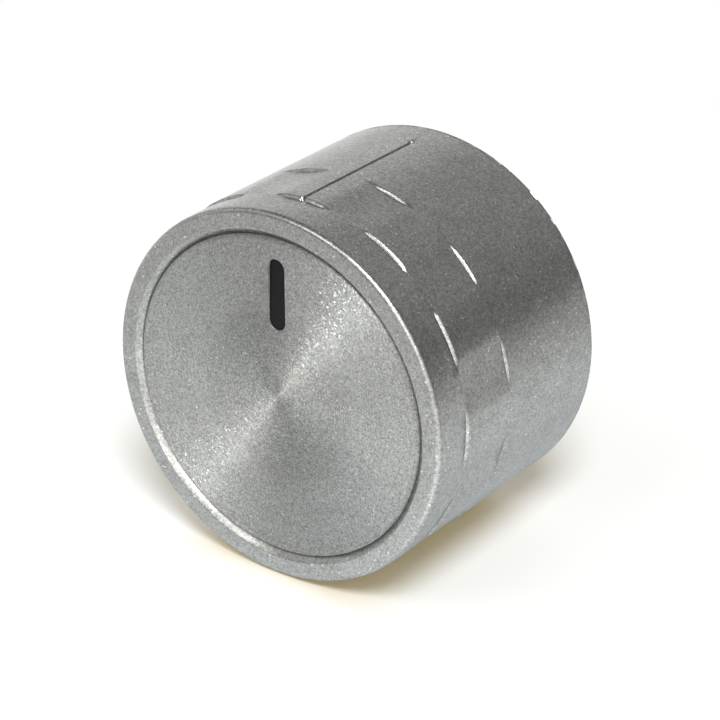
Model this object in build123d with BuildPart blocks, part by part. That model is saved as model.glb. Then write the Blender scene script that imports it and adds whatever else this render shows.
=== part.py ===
from build123d import *
from math import cos, radians, sin
import os

os.makedirs("parts", exist_ok=True)

# The knob stands on the open end of its skirt: +Z points out of the face and the pointer lies towards +Y.

# ---- Shell: outside ----
knob_height = 29.0
body_radius = 21.0
land_step = 0.18
ring_length = 4.85
grip_length = 8.05
flute_count = 12
flute_half_angle = 8.0
flute_depth = 0.28
rim_round = 0.5
skirt_end_round = 0.3

# ---- Shell: line groove along the side ----
groove_width = 0.45
groove_depth = 0.3
groove_length = 19.5

# ---- Shell: face recess, web and cavity ----
rim_width = 2.2
bevel_width = 0.52
bevel_depth = 0.62
bevel_round = 0.3
web_thickness = 2.2
skirt_wall = 2.4
skirt_mouth_chamfer = 0.3

# ---- Face disc ----
disc_sink = 0.25
disc_clearance = 0.12
disc_thickness = 1.55
dish_depth = 0.4
disc_edge_round = 0.4

# ---- Pointer ----
pointer_width = 2.05
pointer_length = 8.0
pointer_edge_gap = 2.24
pointer_clearance = 0.04
pointer_sink = 0.12
pointer_seat_depth = 0.8

# ---- Hub ----
hub_clearance = 0.1
hub_flange = 2.0
hub_ring_wall = 1.4
hub_ring_length = 10.5
hub_flange_chamfer = 0.4
boss_radius = 6.5
boss_recess = 2.5
boss_end_chamfer = 0.5
rib_count = 4
rib_thickness = 1.6

# ---- Shaft hole: a round lead-in, then a D with a pocket for the spring ----
shaft_diameter = 6.0
shaft_flat_height = 4.6
shaft_clearance = 0.1
lead_in_relief = 0.4
lead_in_length = 5.0
lead_in_chamfer = 0.5
d_hole_length = 12.0

# ---- Spring leaf ----
spring_width = 4.0
spring_thickness = 0.35
spring_length = 9.0
spring_bow = 0.35
spring_pocket_depth = 0.5
spring_clearance = 0.05

# ---- Places that follow from the sizes ----
ring_radius = body_radius - land_step
grip_front = knob_height - ring_length
grip_back = grip_front - grip_length
rim_inner_radius = ring_radius - rim_width
recess_radius = rim_inner_radius - bevel_width
bevel_foot = knob_height - bevel_depth
web_front = knob_height - disc_sink - disc_thickness
web_back = web_front - web_thickness
cavity_radius = body_radius - skirt_wall

disc_radius = recess_radius - disc_clearance
dish_radius = (disc_radius**2 + dish_depth**2) / (2 * dish_depth)
pointer_centre = disc_radius - pointer_edge_gap - pointer_length / 2

hub_radius = cavity_radius - hub_clearance
hub_ring_end = web_back - hub_flange - hub_ring_length
hub_ring_inner = hub_radius - hub_ring_wall

shaft_radius = shaft_diameter / 2
d_hole_radius = shaft_radius + shaft_clearance
lead_in_radius = d_hole_radius + lead_in_relief
flat_offset = shaft_flat_height - shaft_radius + shaft_clearance
d_hole_start = boss_recess + lead_in_length
d_hole_end = d_hole_start + d_hole_length


def dish_height(radius):
    """Height of the dished face above the disc's underside, at a radius."""
    drop = dish_radius - (dish_radius**2 - radius**2) ** 0.5
    return disc_thickness - dish_depth + drop


# ---- One flute: a shallow hollow across the grip band, standing at the +X side ----
flute_edge_x = body_radius * cos(radians(flute_half_angle))
flute_edge_y = body_radius * sin(radians(flute_half_angle))
flute_outside = body_radius + flute_depth

with BuildPart() as flute:
    with BuildSketch(Plane.XY.offset(grip_back)):
        with BuildLine():
            ThreePointArc(
                (flute_edge_x, -flute_edge_y),
                (body_radius - flute_depth, 0),
                (flute_edge_x, flute_edge_y),
            )
            Polyline(
                (flute_edge_x, flute_edge_y),
                (flute_outside, flute_edge_y),
                (flute_outside, -flute_edge_y),
                (flute_edge_x, -flute_edge_y),
            )
        make_face()
    extrude(amount=grip_length)


# ---- Shell ----
with BuildPart() as shell:
    with BuildSketch(Plane.XZ):
        with BuildLine():
            Polyline(
                (cavity_radius, 0),
                (body_radius, 0),
                (body_radius, grip_front),
                (ring_radius, grip_front),
                (ring_radius, knob_height),
                (rim_inner_radius, knob_height),
                (recess_radius, bevel_foot),
                (recess_radius, web_front),
                (0, web_front),
                (0, web_back),
                (cavity_radius, web_back),
                close=True,
            )
        make_face()
    revolve(axis=Axis.Z)

    rim_edges = edges().filter_by(GeomType.CIRCLE).group_by(Axis.Z)[-1]
    fillet(rim_edges.sort_by(SortBy.RADIUS)[-1], rim_round)
    rim_edges = edges().filter_by(GeomType.CIRCLE).group_by(Axis.Z)[-1]
    fillet(rim_edges.sort_by(SortBy.RADIUS)[0], bevel_round)
    skirt_edges = edges().filter_by(GeomType.CIRCLE).group_by(Axis.Z)[0].sort_by(SortBy.RADIUS)
    fillet(skirt_edges[-1], skirt_end_round)
    chamfer(skirt_edges[0], skirt_mouth_chamfer)

    with PolarLocations(0, flute_count, start_angle=90 + 180 / flute_count):
        add(flute.part, mode=Mode.SUBTRACT)

    # the line groove, open at the front step of the land it starts on
    with BuildSketch(Plane.XY.offset(grip_front - groove_length)):
        with Locations((0, body_radius)):
            Rectangle(groove_width, 2 * groove_depth)
    extrude(amount=groove_length, mode=Mode.SUBTRACT)

    # the seat that holds the foot of the pointer
    with BuildSketch(Plane.XY.offset(web_front)):
        with Locations((0, pointer_centre)):
            SlotOverall(
                pointer_length + 2 * pointer_clearance,
                pointer_width + 2 * pointer_clearance,
                rotation=90,
            )
    extrude(amount=-pointer_seat_depth, mode=Mode.SUBTRACT)

shell.part.label = "shell"
export_step(shell.part, "parts/shell.step")


# ---- Face disc: flat below, dished on top, with a slot for the pointer ----
with BuildPart() as face_disc:
    with BuildSketch(Plane.XZ):
        with BuildLine():
            Polyline(
                (0, web_front + dish_height(0)),
                (0, web_front),
                (disc_radius, web_front),
                (disc_radius, web_front + disc_thickness),
            )
            ThreePointArc(
                (disc_radius, web_front + disc_thickness),
                (disc_radius / 2, web_front + dish_height(disc_radius / 2)),
                (0, web_front + dish_height(0)),
            )
        make_face()
    revolve(axis=Axis.Z)

    disc_edges = edges().filter_by(GeomType.CIRCLE).group_by(Axis.Z)[-1]
    fillet(disc_edges, disc_edge_round)

    with BuildSketch(Plane.XY.offset(web_front)):
        with Locations((0, pointer_centre)):
            SlotOverall(
                pointer_length + 2 * pointer_clearance,
                pointer_width + 2 * pointer_clearance,
                rotation=90,
            )
    extrude(amount=disc_thickness, mode=Mode.SUBTRACT)

face_disc.part.label = "face_disc"
export_step(face_disc.part, "parts/face_disc.step")


# ---- Pointer: stands in its seat and comes up through the disc, just below its surface ----
pointer_top = dish_height(pointer_centre - pointer_length / 2) - pointer_sink

with BuildPart() as pointer_inlay:
    with BuildSketch(Plane.XY.offset(web_front - pointer_seat_depth)):
        with Locations((0, pointer_centre)):
            SlotOverall(pointer_length, pointer_width, rotation=90)
    extrude(amount=pointer_seat_depth + pointer_top)

pointer_inlay.part.label = "pointer_inlay"
export_step(pointer_inlay.part, "parts/pointer_inlay.step")


# ---- Hub ----
with BuildPart() as hub:
    # flange against the back of the web, and the ring that locates in the skirt
    with BuildSketch(Plane.XY.offset(web_back)):
        Circle(hub_radius)
    extrude(amount=-hub_flange)
    chamfer(edges().group_by(Axis.Z)[-1], hub_flange_chamfer)
    with BuildSketch(Plane.XY.offset(hub_ring_end)):
        Circle(hub_radius)
        Circle(hub_ring_inner, mode=Mode.SUBTRACT)
    extrude(amount=hub_ring_length)

    # ribs from the boss out to the ring
    rib_reach = hub_radius - hub_ring_wall / 2
    with BuildSketch(Plane.XY.offset(hub_ring_end)):
        with PolarLocations(rib_reach / 2, rib_count, start_angle=180 / rib_count):
            Rectangle(rib_reach, rib_thickness)
    extrude(amount=hub_ring_length)

    # boss
    with BuildSketch(Plane.XY.offset(boss_recess)):
        Circle(boss_radius)
    extrude(amount=web_back - hub_flange - boss_recess)
    chamfer(edges().group_by(Axis.Z)[0], boss_end_chamfer)

    # round lead-in with its chamfered mouth
    with BuildSketch(Plane.XY.offset(boss_recess)):
        Circle(lead_in_radius)
    extrude(amount=lead_in_length, mode=Mode.SUBTRACT)
    mouth_edges = edges().filter_by(GeomType.CIRCLE).group_by(Axis.Z)[0]
    chamfer(mouth_edges.sort_by(SortBy.RADIUS)[0], lead_in_chamfer)

    # D-shaped hole, its flat towards the pointer
    with BuildSketch(Plane.XY.offset(d_hole_start)):
        Circle(d_hole_radius)
        with Locations((0, flat_offset)):
            Rectangle(
                2 * d_hole_radius,
                d_hole_radius,
                align=(Align.CENTER, Align.MIN),
                mode=Mode.SUBTRACT,
            )
    extrude(amount=d_hole_length, mode=Mode.SUBTRACT)

    # pocket behind the flat, where the spring leaf lies
    with BuildSketch(Plane.XY.offset(d_hole_start)):
        with Locations((0, flat_offset)):
            Rectangle(
                spring_width + 2 * spring_clearance,
                2 * spring_pocket_depth,
            )
    extrude(amount=spring_length + 2 * spring_clearance, mode=Mode.SUBTRACT)

hub.part.label = "hub"
export_step(hub.part, "parts/hub.step")


# ---- Spring leaf: its ends bear on the pocket, its middle bows towards the shaft ----
spring_back = flat_offset + spring_pocket_depth
spring_start = d_hole_start + spring_clearance
spring_middle = spring_start + spring_length / 2
spring_end = spring_start + spring_length

with BuildPart() as shaft_spring:
    with BuildSketch(Plane.YZ.offset(-spring_width / 2)):
        with BuildLine():
            ThreePointArc(
                (spring_back, spring_start),
                (spring_back - spring_bow, spring_middle),
                (spring_back, spring_end),
            )
            Line((spring_back, spring_end), (spring_back - spring_thickness, spring_end))
            ThreePointArc(
                (spring_back - spring_thickness, spring_end),
                (spring_back - spring_thickness - spring_bow, spring_middle),
                (spring_back - spring_thickness, spring_start),
            )
            Line((spring_back - spring_thickness, spring_start), (spring_back, spring_start))
        make_face()
    extrude(amount=spring_width)

shaft_spring.part.label = "shaft_spring"
export_step(shaft_spring.part, "parts/shaft_spring.step")
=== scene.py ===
"""Stove knob, lying on a table in soft studio light.

It has a painted shell, a turned disc, a pointer, a hub and a spring."""

import math

import bmesh
import bpy
from mathutils import Matrix, Vector


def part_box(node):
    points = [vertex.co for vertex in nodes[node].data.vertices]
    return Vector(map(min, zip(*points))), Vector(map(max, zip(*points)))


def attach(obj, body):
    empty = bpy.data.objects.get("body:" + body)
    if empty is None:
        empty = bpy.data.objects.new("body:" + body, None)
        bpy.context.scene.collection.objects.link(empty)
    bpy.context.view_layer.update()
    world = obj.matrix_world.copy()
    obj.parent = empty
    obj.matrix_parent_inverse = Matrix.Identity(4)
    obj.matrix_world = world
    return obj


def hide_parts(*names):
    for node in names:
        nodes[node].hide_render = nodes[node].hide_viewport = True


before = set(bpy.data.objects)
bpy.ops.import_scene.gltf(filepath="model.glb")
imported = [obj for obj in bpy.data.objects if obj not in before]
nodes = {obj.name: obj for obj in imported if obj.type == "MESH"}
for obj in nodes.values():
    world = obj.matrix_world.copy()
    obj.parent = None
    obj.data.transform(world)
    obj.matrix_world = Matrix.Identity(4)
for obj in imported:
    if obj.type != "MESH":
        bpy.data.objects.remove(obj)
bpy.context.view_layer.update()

# Millimetres, as the part's drawing gives them; MM turns them into the scene's metres.
MM = 0.001

# ---- Sizes taken from the frame ----
shell_low, shell_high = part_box("shell")
disc_low, disc_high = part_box("face_disc")
hub_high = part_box("hub")[1]

body_radius = -shell_low.y / MM
knob_height = shell_high.z / MM
web_front = disc_low.z / MM
web_back = hub_high.z / MM
disc_radius = disc_high.y / MM
hub_radius = hub_high.y / MM

# ---- Sizes of the shell's own details, in millimetres ----
land_step = 0.18
ring_length = 4.85
grip_length = 8.05
flute_count = 12
flute_half_angle = 8.0
flute_depth = 0.28
rim_round = 0.62
skirt_end_round = 0.3
groove_width = 0.45
groove_depth = 0.3
groove_length = 19.5
rim_width = 2.1
bevel_depth = 0.62
bevel_round = 0.15
skirt_mouth_chamfer = 0.3
web_corner = 0.15
disc_joint = 0.02
hub_clearance = 0.1

ring_radius = body_radius - land_step
grip_front = knob_height - ring_length
grip_back = grip_front - grip_length
groove_back = grip_front - groove_length
rim_inner_radius = ring_radius - rim_width
bevel_foot = knob_height - bevel_depth
recess_radius = disc_radius + disc_joint
cavity_radius = hub_radius + hub_clearance


# ---- Small helpers ----
def smooth(low, high, value):
    """0 below low, 1 above high, and an S-curve between them."""
    t = min(max((value - low) / (high - low), 0.0), 1.0)
    return t * t * (3 - 2 * t)


def arc(centre, radius, start, end, steps):
    """Points along an arc of a profile, with angles in degrees from the radial direction."""
    points = []
    for i in range(steps + 1):
        a = math.radians(start + (end - start) * i / steps)
        points.append((centre[0] + radius * math.cos(a), centre[1] + radius * math.sin(a)))
    return points


class Nodes:
    """Builds a node tree: each call adds one node and returns the socket that it gives out."""

    def __init__(self, tree):
        self.tree = tree
        tree.nodes.clear()

    def add(self, kind, inputs=(), output=0, **settings):
        node = self.tree.nodes.new(kind)
        for name, value in settings.items():
            setattr(node, name, value)
        for name, value in dict(inputs).items():
            self.put(node.inputs[name], value)
        return node.outputs[output]

    def put(self, socket, value):
        if isinstance(value, bpy.types.NodeSocket):
            self.tree.links.new(value, socket)
        else:
            socket.default_value = value

    def math(self, operation, a, b=0.0):
        return self.add("ShaderNodeMath", {0: a, 1: b}, operation=operation)

    def vector(self, operation, a, b=(0, 0, 0)):
        output = 1 if operation in ("DOT_PRODUCT", "LENGTH") else 0
        return self.add("ShaderNodeVectorMath", {0: a, 1: b}, output, operation=operation)

    def scaled(self, vector, factor):
        return self.add("ShaderNodeVectorMath", {0: vector, "Scale": factor}, operation="SCALE")

    def ramp(self, value, low, high, to_low, to_high, shape="SMOOTHSTEP"):
        ends = {"From Min": low, "From Max": high, "To Min": to_low, "To Max": to_high}
        return self.add("ShaderNodeMapRange", {"Value": value, **ends}, interpolation_type=shape)

    def mix_colour(self, factor, a, b, blend="MIX"):
        """A mix of two colours, which has its own sockets on the node: 6 and 7 in, and 2 out."""
        node = self.tree.nodes.new("ShaderNodeMix")
        node.data_type = "RGBA"
        node.blend_type = blend
        self.put(node.inputs[0], factor)
        self.put(node.inputs[6], a)
        self.put(node.inputs[7], b)
        return node.outputs[2]

    def shaded(self, colour, shade):
        """The colour, times a shade of grey."""
        grey = self.add("ShaderNodeCombineColor", {0: shade, 1: shade, 2: shade})
        return self.mix_colour(1.0, colour, grey, "MULTIPLY")

    def spread_out(self, noise, low, high):
        """The middle of a noise's range, stretched to run from low to high."""
        return self.ramp(noise, 0.3, 0.7, low, high)

    def millimetres(self):
        place = self.add("ShaderNodeTexCoord", output=3)
        return self.scaled(place, 1 / MM)

    def noise(self, place, scale, detail=2.0):
        return self.add("ShaderNodeTexNoise", {"Vector": place, "Scale": scale, "Detail": detail})

    def cells(self, place, scale):
        """A random colour for each cell of a pattern with this many cells per unit of place."""
        return self.add("ShaderNodeTexVoronoi", {"Vector": place, "Scale": scale}, 1)

    def bump(self, height, strength, distance):
        settings = {"Height": height, "Strength": strength, "Distance": distance}
        return self.add("ShaderNodeBump", settings)


def new_material(name):
    material = bpy.data.materials.new(name)
    material.use_nodes = True
    return material, Nodes(material.node_tree)


def finish_material(tree, shader):
    out = tree.tree.nodes.new("ShaderNodeOutputMaterial")
    tree.tree.links.new(shader, out.inputs["Surface"])


def loose_lean(tree, flake, tilt):
    """A small vector from a flake's random colour: up to half of tilt either way on each axis."""
    return tree.scaled(tree.vector("SUBTRACT", flake, (0.5, 0.5, 0.5)), tilt)


def flake_normal(tree, place, scale, tilt):
    """The surface normal, tilted anew in each flake of the paint: scale is in flakes per mm."""
    normal = tree.add("ShaderNodeNewGeometry", output=1)
    lean = loose_lean(tree, tree.cells(place, scale), tilt)
    return tree.vector("NORMALIZE", tree.vector("ADD", normal, lean))


def glitter_normal(tree, place, scale, lean, tilt):
    """The normal of coarse flakes along the turned lines: they lean outward or inward."""
    normal = tree.add("ShaderNodeNewGeometry", output=1)
    flake = tree.cells(place, scale)
    chance = tree.add("ShaderNodeSeparateColor", {"Color": flake}, 0)
    outward = tree.vector("NORMALIZE", tree.vector("MULTIPLY", place, (1, 1, 0)))
    along = tree.scaled(outward, tree.ramp(chance, 0.0, 1.0, -lean, lean, "LINEAR"))
    loose = loose_lean(tree, flake, tilt)
    return tree.vector("NORMALIZE", tree.vector("ADD", tree.vector("ADD", normal, along), loose))


def flake_colour(tree, place, colour, scale, spread, glints):
    """The paint's colour, a little lighter or darker in each flake, with a share of bright glints.

    Glints are given as their scale, the share of them that shines, and its tone."""
    chance = tree.add("ShaderNodeSeparateColor", {"Color": tree.cells(place, scale)}, 2)
    grained = tree.shaded(colour, tree.ramp(chance, 0.0, 1.0, 1 - spread, 1 + spread, "LINEAR"))
    glint_scale, share, tone = glints
    pick = tree.add("ShaderNodeSeparateColor", {"Color": tree.cells(place, glint_scale)}, 0)
    chosen = tree.math("LESS_THAN", pick, share)
    return tree.mix_colour(chosen, grained, (tone, tone, tone, 1))


# ---- Materials: colours, and scales in details per millimetre ----
paint_darker = (0.366, 0.367, 0.347, 1)
paint_lighter = (0.396, 0.398, 0.379, 1)
paint_cloud_scale = 0.35
paint_flake_scale = 5.6
paint_flake_spread = 0.27
paint_glints = (6.0, 0.006, 0.75)
paint_mottle_scale = 5.0
paint_roughness = (0.29, 0.34)
paint_edge_tint = (0.8, 0.8, 0.8, 1)
paint_tilt_scale = 5.8
paint_tilt = 0.075

disc_darker = (0.410, 0.414, 0.393, 1)
disc_lighter = (0.440, 0.444, 0.422, 1)
disc_cloud_scale = 0.4
disc_line_scale = 3.2
disc_line_shade = (0.93, 1.05)
disc_flake_scale = 6.8
disc_flake_spread = 0.33
disc_glints = (7.5, 0.006, 0.8)
disc_tilt_scale = 7.0
disc_tilt = 0.20
disc_anisotropy = 0.89
# The disc's roughness and share of glitter change between these distances from its middle, in mm.
disc_change = (2.0, 13.0)
disc_roughness = (0.90, 0.56)
glitter_share = (0.06, 0.14)
glitter_scale = 5.0
glitter_roughness = 0.28
glitter_lean = 1.3
glitter_tilt = 0.3

pointer_darker = (0.003, 0.003, 0.0033, 1)
pointer_lighter = (0.007, 0.007, 0.0073, 1)
pointer_cloud_scale = 3.0
pointer_grain_scale = 6.0
pointer_roughness = 0.45
pointer_shine = 0.15

hub_darker = (0.018, 0.018, 0.019, 1)
hub_lighter = (0.032, 0.032, 0.033, 1)
hub_cloud_scale = 0.8
hub_grain_scale = 9.0
hub_roughness = (0.42, 0.58)

steel_darker = (0.42, 0.42, 0.42, 1)
steel_lighter = (0.62, 0.62, 0.61, 1)
steel_roughness = (0.25, 0.4)
steel_line_scales = (12.0, 12.0, 0.6)


def make_silver_paint():
    material, tree = new_material("silver_flake_paint")
    place = tree.millimetres()
    cloud = tree.spread_out(tree.noise(place, paint_cloud_scale, 3.0), 0.0, 1.0)
    colour = tree.mix_colour(cloud, paint_darker, paint_lighter)
    grained = flake_colour(tree, place, colour, paint_flake_scale, paint_flake_spread, paint_glints)
    shader = tree.add(
        "ShaderNodeBsdfPrincipled",
        {
            "Base Color": grained,
            "Metallic": 1.0,
            "Roughness": tree.spread_out(tree.noise(place, paint_mottle_scale), *paint_roughness),
            "Specular Tint": paint_edge_tint,
            "Normal": flake_normal(tree, place, paint_tilt_scale, paint_tilt),
        },
    )
    finish_material(tree, shader)
    return material


def make_turned_disc():
    """Lacquer over concentric turned lines, with coarser glitter towards the edge."""
    material, tree = new_material("turned_disc")
    place = tree.millimetres()
    colour = tree.mix_colour(tree.noise(place, disc_cloud_scale, 3.0), disc_darker, disc_lighter)
    across = tree.vector("LENGTH", tree.vector("MULTIPLY", place, (1, 1, 0)))
    lines = tree.noise(tree.add("ShaderNodeCombineXYZ", {"X": across}), disc_line_scale, 4.0)
    turned = tree.shaded(colour, tree.spread_out(lines, *disc_line_shade))
    grained = flake_colour(tree, place, turned, disc_flake_scale, disc_flake_spread, disc_glints)
    lacquer = tree.add(
        "ShaderNodeBsdfPrincipled",
        {
            "Base Color": grained,
            "Metallic": 1.0,
            "Roughness": tree.ramp(across, *disc_change, *disc_roughness),
            "Anisotropic": disc_anisotropy,
            "Anisotropic Rotation": 0.25,
            "Tangent": tree.add("ShaderNodeTangent", direction_type="RADIAL", axis="Z"),
            "Normal": flake_normal(tree, place, disc_tilt_scale, disc_tilt),
        },
    )
    glitter = tree.add(
        "ShaderNodeBsdfPrincipled",
        {
            "Base Color": turned,
            "Metallic": 1.0,
            "Roughness": glitter_roughness,
            "Normal": glitter_normal(tree, place, glitter_scale, glitter_lean, glitter_tilt),
        },
    )
    share = tree.ramp(across, *disc_change, *glitter_share)
    finish_material(tree, tree.add("ShaderNodeMixShader", {0: share, 1: lacquer, 2: glitter}))
    return material


def make_pointer_black():
    material, tree = new_material("pointer_black")
    place = tree.millimetres()
    cloud = tree.noise(place, pointer_cloud_scale)
    shader = tree.add(
        "ShaderNodeBsdfPrincipled",
        {
            "Base Color": tree.mix_colour(cloud, pointer_darker, pointer_lighter),
            "Roughness": pointer_roughness,
            "Specular IOR Level": pointer_shine,
            "Normal": tree.bump(tree.noise(place, pointer_grain_scale), 0.2, 0.02 * MM),
        },
    )
    finish_material(tree, shader)
    return material


def make_hub_plastic():
    material, tree = new_material("hub_plastic")
    place = tree.millimetres()
    cloud = tree.noise(place, hub_cloud_scale, 3.0)
    grain = tree.noise(place, hub_grain_scale, 3.0)
    shader = tree.add(
        "ShaderNodeBsdfPrincipled",
        {
            "Base Color": tree.mix_colour(cloud, hub_darker, hub_lighter),
            "Roughness": tree.spread_out(grain, *hub_roughness),
            "Normal": tree.bump(grain, 0.35, 0.03 * MM),
        },
    )
    finish_material(tree, shader)
    return material


def make_spring_steel():
    material, tree = new_material("spring_steel")
    lines = tree.noise(tree.vector("MULTIPLY", tree.millimetres(), steel_line_scales), 1.0, 3.0)
    shader = tree.add(
        "ShaderNodeBsdfPrincipled",
        {
            "Base Color": tree.mix_colour(lines, steel_darker, steel_lighter),
            "Metallic": 1.0,
            "Roughness": tree.spread_out(lines, *steel_roughness),
            "Normal": tree.bump(lines, 0.3, 0.02 * MM),
        },
    )
    finish_material(tree, shader)
    return material


# ---- Shell: one turned profile, with the flutes and the line groove worked into its outside ----
# The steps between ring, grip and skirt: length of each wall, and how it is curved.
front_wall = 0.31
back_wall = 0.27
wall_curve = 1.5
step_shift = 0.02
# Beside each land, the ring's back border sinks by this share of the step there, over this length.
foot_relief = 0.7
foot_length = 1.6
flute_blend = 0.10
# The groove: how wide its slanting walls are, and where it fades in and out at its two ends.
groove_wall = 0.15
groove_start = (groove_back - 0.04, groove_back + 0.16)
groove_end = (grip_front - 0.1, grip_front + 0.02)
# A cone-shaped dot at each end of the groove: dimples holds the height and the radius of each.
dimple_radius = 0.42
dimple_depth = 0.44
dimples = ((groove_back + 0.1, dimple_radius), (grip_front - 0.12, 0.8 * dimple_radius))
# The uneven back edge: number round it, turn and size of each wave, and where they die out.
edge_waves = ((31, 0.4, 0.014), (47, 1.9, 0.011), (73, 4.1, 0.007))
edge_wave_end = (0.1, 3.0)

# Columns of the skin, in degrees: the common step, and how far the groove's closer ones reach.
column_step = 0.5
groove_zone = 1.2
# Rows of the skin where it is flat: radii on the web's two sides, and a height in the cavity.
web_back_rows = (0, 12, cavity_radius - 0.2)
web_front_rows = (recess_radius, 14, 8, 0)
cavity_row = 12
# Edges that turn by more than this, in degrees, are drawn sharp.
sharp_angle = 32

# The section of a flute is a parabola between two points of the body's circle.
chord_x = body_radius * math.cos(math.radians(flute_half_angle))
chord_y = body_radius * math.sin(math.radians(flute_half_angle))
flute_floor = body_radius - flute_depth
flute_curve = chord_y**2 / (chord_x - flute_floor)


def flute_radius(angle):
    """Radius of the outside on the grip, at an angle in degrees from the pointer."""
    pitch = 360 / flute_count
    off = (angle % pitch) - pitch / 2
    y = body_radius * math.sin(math.radians(off))
    x = flute_floor + y * y / flute_curve
    # The smaller of the two radii, with a soft border where they meet.
    gap = math.hypot(x, y) - body_radius
    return body_radius + 0.5 * (gap - math.sqrt(gap * gap + flute_blend**2))


def fall(start, end, height):
    """0 before start, 1 after end: a rounded edge first, then a slope with a crisp corner."""
    t = min(max((height - start) / (end - start), 0.0), 1.0)
    return t**wall_curve


def outside_radius(angle, height):
    """Radius of the painted outside, at an angle in degrees and a height in mm."""
    grip = flute_radius(angle)
    back = grip_back - step_shift
    front = grip_front + step_shift
    radius = body_radius + (grip - body_radius) * fall(back, back + back_wall, height)
    sunk = 1 - smooth(grip_front, grip_front + foot_length, height)
    ring = ring_radius - foot_relief * max(grip - ring_radius, 0.0) * sunk
    radius += (ring - grip) * fall(front - front_wall, front, height)
    off = (angle + 180) % 360 - 180
    across = abs(math.radians(off)) * body_radius
    in_groove = 1 - smooth(groove_width / 2 - groove_wall, groove_width / 2, across)
    in_groove *= smooth(*groove_start, height) * (1 - smooth(*groove_end, height))
    depth = groove_depth * in_groove
    for middle, reach in dimples:
        away = math.hypot(across, height - middle) / reach
        if away < 1:
            depth = max(depth, dimple_depth * (1 - away))
    turn = math.radians(angle)
    wave = sum(size * (1 + math.sin(count * turn + start)) for count, start, size in edge_waves)
    return radius - depth - wave * (1 - smooth(*edge_wave_end, height))


def spread(low, high, step):
    """Evenly spaced values from low to high, about a step apart."""
    count = max(1, round((high - low) / step))
    return [low + (high - low) * i / count for i in range(count + 1)]


def outside_heights():
    """Heights of the outside's rows: close together at the steps and far apart between them."""
    rows = set()
    for start, end, step in (
        (skirt_end_round, 3.1, 0.4),
        (3.1, groove_back - 0.2, 0.6),
        (groove_back - 0.2, groove_back + 0.45, 0.05),
        (groove_back + 0.45, grip_back - 0.2, 2.4),
        (grip_back - 0.2, grip_back + 0.45, 0.03),
        (grip_back + 0.45, grip_front - 0.5, 1.2),
        (grip_front - 0.5, grip_front + 0.2, 0.03),
        (grip_front + 0.2, grip_front + 1.7, 0.25),
        (grip_front + 1.7, knob_height - rim_round, 0.9),
    ):
        rows.update(round(h, 4) for h in spread(start, end, step))
    return sorted(rows)


def shell_angles():
    """Angles of the shell's columns in degrees: evenly spaced, and closer at the line groove."""
    half_groove = math.degrees(groove_width / 2 / body_radius)
    shares = (0, 0.12, 0.24, 0.36, 0.48, 0.6, 0.72, 0.8, 0.88, 0.96, 1.04, 1.12, 1.2, 1.5)
    fine = [half_groove * share for share in shares]
    angles = fine + [-a for a in fine[1:]]
    angles += [a for a in spread(-180, 180 - column_step, column_step) if abs(a) > groove_zone]
    return sorted(angles)


def shell_profile():
    """The profile from the web's back, round the skirt and the rim, to the web's front.

    Each point is (radius, height, outside), where outside says that flutes and groove shape it."""
    points = [(r, web_back) for r in web_back_rows]
    points += arc((cavity_radius - web_corner, web_back - web_corner), web_corner, 90, 0, 3)
    points += [(cavity_radius, cavity_row), (cavity_radius, skirt_mouth_chamfer + 0.02)]
    points += [(cavity_radius + skirt_mouth_chamfer, 0.0), (cavity_radius + 1.0, 0.0)]
    end_centre = (body_radius - skirt_end_round, skirt_end_round)
    points += arc(end_centre, skirt_end_round, -90, -10, 6)
    inside = [(r, h, False) for r, h in points]
    outside = [(None, h, True) for h in outside_heights()]
    rim_centre = (ring_radius - rim_round, knob_height - rim_round)
    points = arc(rim_centre, rim_round, 8, 90, 9)
    points += [(ring_radius - 0.9, knob_height), (ring_radius - 1.4, knob_height)]
    lean = math.degrees(math.atan2(bevel_depth, rim_inner_radius - recess_radius))
    bevel_turn = bevel_round * math.tan(math.radians(lean / 2))
    bevel_centre = (rim_inner_radius + bevel_turn, knob_height - bevel_round)
    points += arc(bevel_centre, bevel_round, 90, 90 + lean, 8)
    points += [(recess_radius + 0.02, bevel_foot + 0.025), (recess_radius, bevel_foot - 0.02)]
    points += [(recess_radius, web_front + 0.4)]
    points += [(r, web_front) for r in web_front_rows]
    front = [(r, h, False) for r, h in points]
    return inside + outside + front


def shell_row(bm, angles, radius, height, outside):
    """The vertices of one row of the skin: a whole turn of them, or one on the axis."""
    if radius == 0:
        return [bm.verts.new((0, 0, height * MM))]
    row = []
    for angle in angles:
        r = outside_radius(angle, height) if outside else radius
        a = math.radians(angle)
        row.append(bm.verts.new((r * math.sin(a) * MM, r * math.cos(a) * MM, height * MM)))
    return row


def join_rows(bm, first, second, columns):
    """The faces between two rows, as triangles where one of them is a point on the axis."""
    for i in range(columns):
        j = (i + 1) % columns
        if len(first) == 1:
            bm.faces.new((first[0], second[i], second[j]))
        elif len(second) == 1:
            bm.faces.new((first[i], second[0], first[j]))
        else:
            bm.faces.new((first[i], second[i], second[j], first[j]))


def make_shell_skin(material):
    """The painted shell with its web and cavity, shown in place of the plain solid."""
    mesh = bpy.data.meshes.new("shell_skin")
    bm = bmesh.new()
    angles = shell_angles()
    rows = [shell_row(bm, angles, *point) for point in shell_profile()]
    for first, second in zip(rows, rows[1:]):
        join_rows(bm, first, second, len(angles))
    bmesh.ops.recalc_face_normals(bm, faces=bm.faces)
    bm.to_mesh(mesh)
    bm.free()
    mesh.shade_smooth()
    mesh.set_sharp_from_angle(angle=math.radians(sharp_angle))
    mesh.materials.append(material)
    skin = bpy.data.objects.new("shell_skin", mesh)
    bpy.context.scene.collection.objects.link(skin)
    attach(skin, "root")
    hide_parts("shell")
    return skin


def paint(node, material):
    node.data.materials.clear()
    node.data.materials.append(material)


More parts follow.
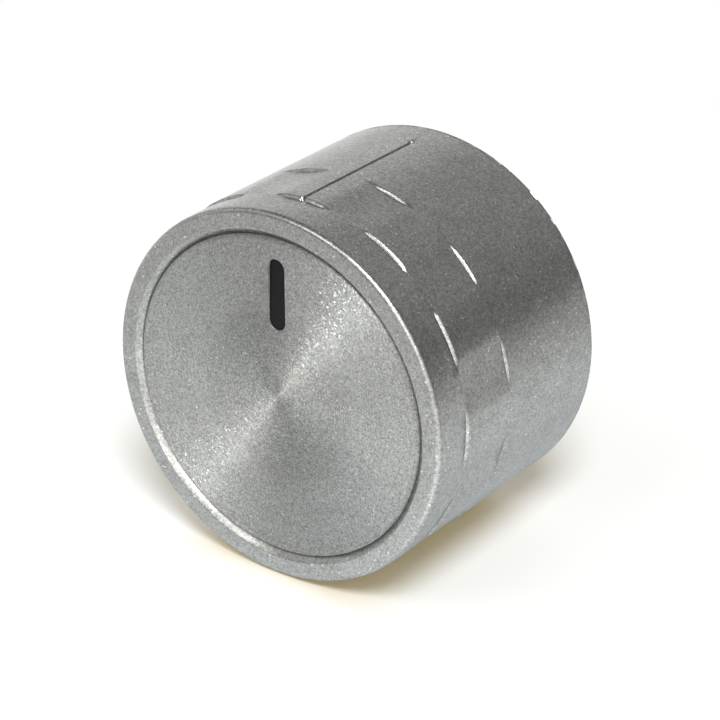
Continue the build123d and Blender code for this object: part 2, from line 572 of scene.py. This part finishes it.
make_shell_skin(make_silver_paint())
paint(nodes["face_disc"], make_turned_disc())
paint(nodes["pointer_inlay"], make_pointer_black())
paint(nodes["hub"], make_hub_plastic())
paint(nodes["shaft_spring"], make_spring_steel())


# ---- Stage: the knob lies on its side on a white table, which its outside touches at -Y ----
# Half the table's width, in metres.
table_half = 0.3
# The card's colour, and a painted shadow: a darker, warmer card colour that the camera sees where
# the knob's shadow falls, which fades out between these places, in mm.
table_card = (0.84, 0.885, 0.94, 1)
painted_shadow_card = (0.72, 0.69, 0.62, 1)
painted_shadow_aside = (6.0, 17.0)
painted_shadow_before = (27.0, 33.0)
painted_shadow_behind = (-6.0, 6.0)
# What the card adds to its light, in the camera's view and in reflections: painted light, a warm
# glow that tints the knob's shadow.
table_glow = (0.13, 0.085, 0.0, 1)
table_echo = (0.11, 0.10, 0.08, 1)
# A painted pool of light on the card, ahead of the knob and towards +X: its glow, and where it
# begins and is full, in mm. Farther ahead, the whole width of the card has a share of it.
painted_light_pool = (1.15, 1.13, 1.10, 1)
pool_beside = (-2.0, 26.0)
pool_before = (29.0, 46.0)
pool_ahead = (40.0, 70.0)
pool_rest = 0.12
# The card fades into the white backdrop between these distances from the knob's open end, in mm.
table_fade = (38.0, 120.0)

# The key lamp: direction towards it, width in degrees, irradiance, and distance in metres.
key_direction = (0.39, 0.79, 0.47)
key_width = 20
key_energy = 2.42
key_distance = 0.5

# The studio's tone above and below the horizon, and the heights between which it changes.
studio_base = 0.17
studio_floor = 0.76
studio_horizon = (-0.05, 0.02)
# Direction, reach in degrees and tone of each soft patch.
studio = (
    ((-0.20, 0.75, 0.63), 16, 4.0),
    ((0.50, 0.33, 0.80), 19, 2.6),
    ((-0.52, 0.73, 0.44), 35, 0.2),
    ((-0.80, 0.52, 0.30), 30, 0.25),
    ((-0.75, 0.35, 0.55), 40, 0.10),
    ((-0.25, 0.05, 0.96), 30, 0.30),
    ((0.7, 0.05, 0.7), 50, 0.88),
    ((0.58, 0.57, -0.58), 50, 0.05),
    ((0.0, 0.57, -0.82), 50, 0.25),
    ((-0.58, 0.57, -0.58), 50, 0.1),
    ((-0.7, 0.05, -0.7), 43, 0.80),
    ((-1.0, 0.05, 0.0), 50, 0.41),
)


def make_table():
    """A pale card that isn't there far from the knob, nor for a camera below it."""
    material, tree = new_material("white_table")
    path = tree.tree.nodes.new("ShaderNodeLightPath")
    camera_ray = path.outputs["Is Camera Ray"]
    seen = tree.math("MAXIMUM", camera_ray, path.outputs["Is Glossy Ray"])
    seen = tree.math("MAXIMUM", seen, path.outputs["Is Transmission Ray"])
    place = tree.tree.nodes.new("ShaderNodeSeparateXYZ")
    tree.tree.links.new(tree.millimetres(), place.inputs[0])
    x = place.outputs["X"]
    z = place.outputs["Z"]
    aside = tree.math("ABSOLUTE", x)
    # Painted shadow: in the camera's view the card turns darker and warmer where the knob's shadow
    # falls.
    painted_shadow_share = tree.math("MULTIPLY", camera_ray, tree.ramp(aside, *painted_shadow_aside, 1, 0))
    painted_shadow_share = tree.math("MULTIPLY", painted_shadow_share, tree.ramp(z, *painted_shadow_before, 1, 0))
    painted_shadow_share = tree.math("MULTIPLY", painted_shadow_share, tree.ramp(z, *painted_shadow_behind, 0, 1))
    card_colour = tree.mix_colour(painted_shadow_share, table_card, painted_shadow_card)
    card = tree.add("ShaderNodeBsdfDiffuse", {"Color": card_colour})
    # Painted pool of light: ahead of the knob the card glows brighter, in the camera's view and in
    # reflections.
    corner = tree.ramp(x, *pool_beside, 0, 1)
    corner = tree.math("MULTIPLY", corner, tree.ramp(z, *pool_before, 0, 1))
    pool = tree.math("MAXIMUM", corner, tree.ramp(z, *pool_ahead, 0, pool_rest))
    # Painted light: near the knob the camera sees the card glow warm, which tints the knob's
    # shadow.
    near = tree.mix_colour(camera_ray, table_echo, table_glow)
    colour = tree.mix_colour(pool, near, painted_light_pool)
    glow = tree.add("ShaderNodeEmission", {"Color": colour, "Strength": seen})
    top = tree.add("ShaderNodeAddShader", {0: card, 1: glow})
    clear = tree.add("ShaderNodeBsdfTransparent")
    away = tree.vector("LENGTH", tree.vector("MULTIPLY", tree.millimetres(), (1, 0, 1)))
    back = tree.add("ShaderNodeNewGeometry", output=6)
    missing = tree.math("MAXIMUM", tree.ramp(away, *table_fade, 0, 1), back)
    finish_material(tree, tree.add("ShaderNodeMixShader", {0: missing, 1: top, 2: clear}))
    bm = bmesh.new()
    corners = []
    for across, along in ((-1, -1), (-1, 1), (1, 1), (1, -1)):
        corners.append(bm.verts.new((across * table_half, shell_low.y, along * table_half)))
    bm.faces.new(corners)
    mesh = bpy.data.meshes.new("table")
    bm.to_mesh(mesh)
    bm.free()
    mesh.materials.append(material)
    table = bpy.data.objects.new("table", mesh)
    bpy.context.scene.collection.objects.link(table)
    return table


def make_key_lamp():
    lamp = bpy.data.lights.new("key", "SUN")
    lamp.energy = key_energy
    lamp.angle = math.radians(key_width)
    light = bpy.data.objects.new("key", lamp)
    towards = Vector(key_direction).normalized()
    light.rotation_mode = "QUATERNION"
    light.rotation_quaternion = towards.to_track_quat("Z", "Y")
    light.location = towards * key_distance
    bpy.context.scene.collection.objects.link(light)


def make_world():
    """Pale patches round the knob, and plain white where the camera looks past it."""
    world = bpy.data.worlds.new("studio")
    bpy.context.scene.world = world
    world.use_nodes = True
    tree = Nodes(world.node_tree)
    towards = tree.vector("NORMALIZE", tree.add("ShaderNodeTexCoord", output=0))
    height = tree.add("ShaderNodeSeparateXYZ", {0: towards}, 1)
    tone = tree.ramp(height, *studio_horizon, studio_floor, studio_base)
    for direction, reach, strength in studio:
        along = tree.vector("DOT_PRODUCT", towards, Vector(direction).normalized()[:])
        patch = tree.ramp(along, math.cos(math.radians(reach)), 1.0, 0.0, strength)
        tone = tree.math("ADD", tone, patch)
    path = tree.tree.nodes.new("ShaderNodeLightPath")
    room = tree.add("ShaderNodeBackground", {"Color": (1, 1, 1, 1), "Strength": tone})
    white = tree.add("ShaderNodeBackground", {"Color": (1, 1, 1, 1), "Strength": 1.0})
    shader = tree.add("ShaderNodeMixShader", {0: path.outputs["Is Camera Ray"], 1: room, 2: white})
    out = tree.tree.nodes.new("ShaderNodeOutputWorld")
    tree.tree.links.new(shader, out.inputs["Surface"])


# The camera: its place in mm, and the directions of its right side and its back.
camera_place = (145.78, 123.68, 219.26)
camera_right = (0.8116, 0.0143, -0.5841)
camera_back = (0.518, 0.4448, 0.7306)
camera_lens = 130


def make_camera():
    data = bpy.data.cameras.new("camera")
    data.lens = camera_lens
    data.sensor_width = 36
    data.clip_start = 0.01
    data.clip_end = 20
    camera = bpy.data.objects.new("camera", data)
    right = Vector(camera_right).normalized()
    back = Vector(camera_back).normalized()
    up = back.cross(right).normalized()
    right = up.cross(back)
    turn = Matrix((right, up, back)).transposed().to_4x4()
    camera.matrix_world = Matrix.Translation(Vector(camera_place) * MM) @ turn
    bpy.context.scene.collection.objects.link(camera)
    bpy.context.scene.camera = camera


make_table()
make_key_lamp()
make_world()
make_camera()
bpy.context.scene.view_settings.view_transform = "Standard"
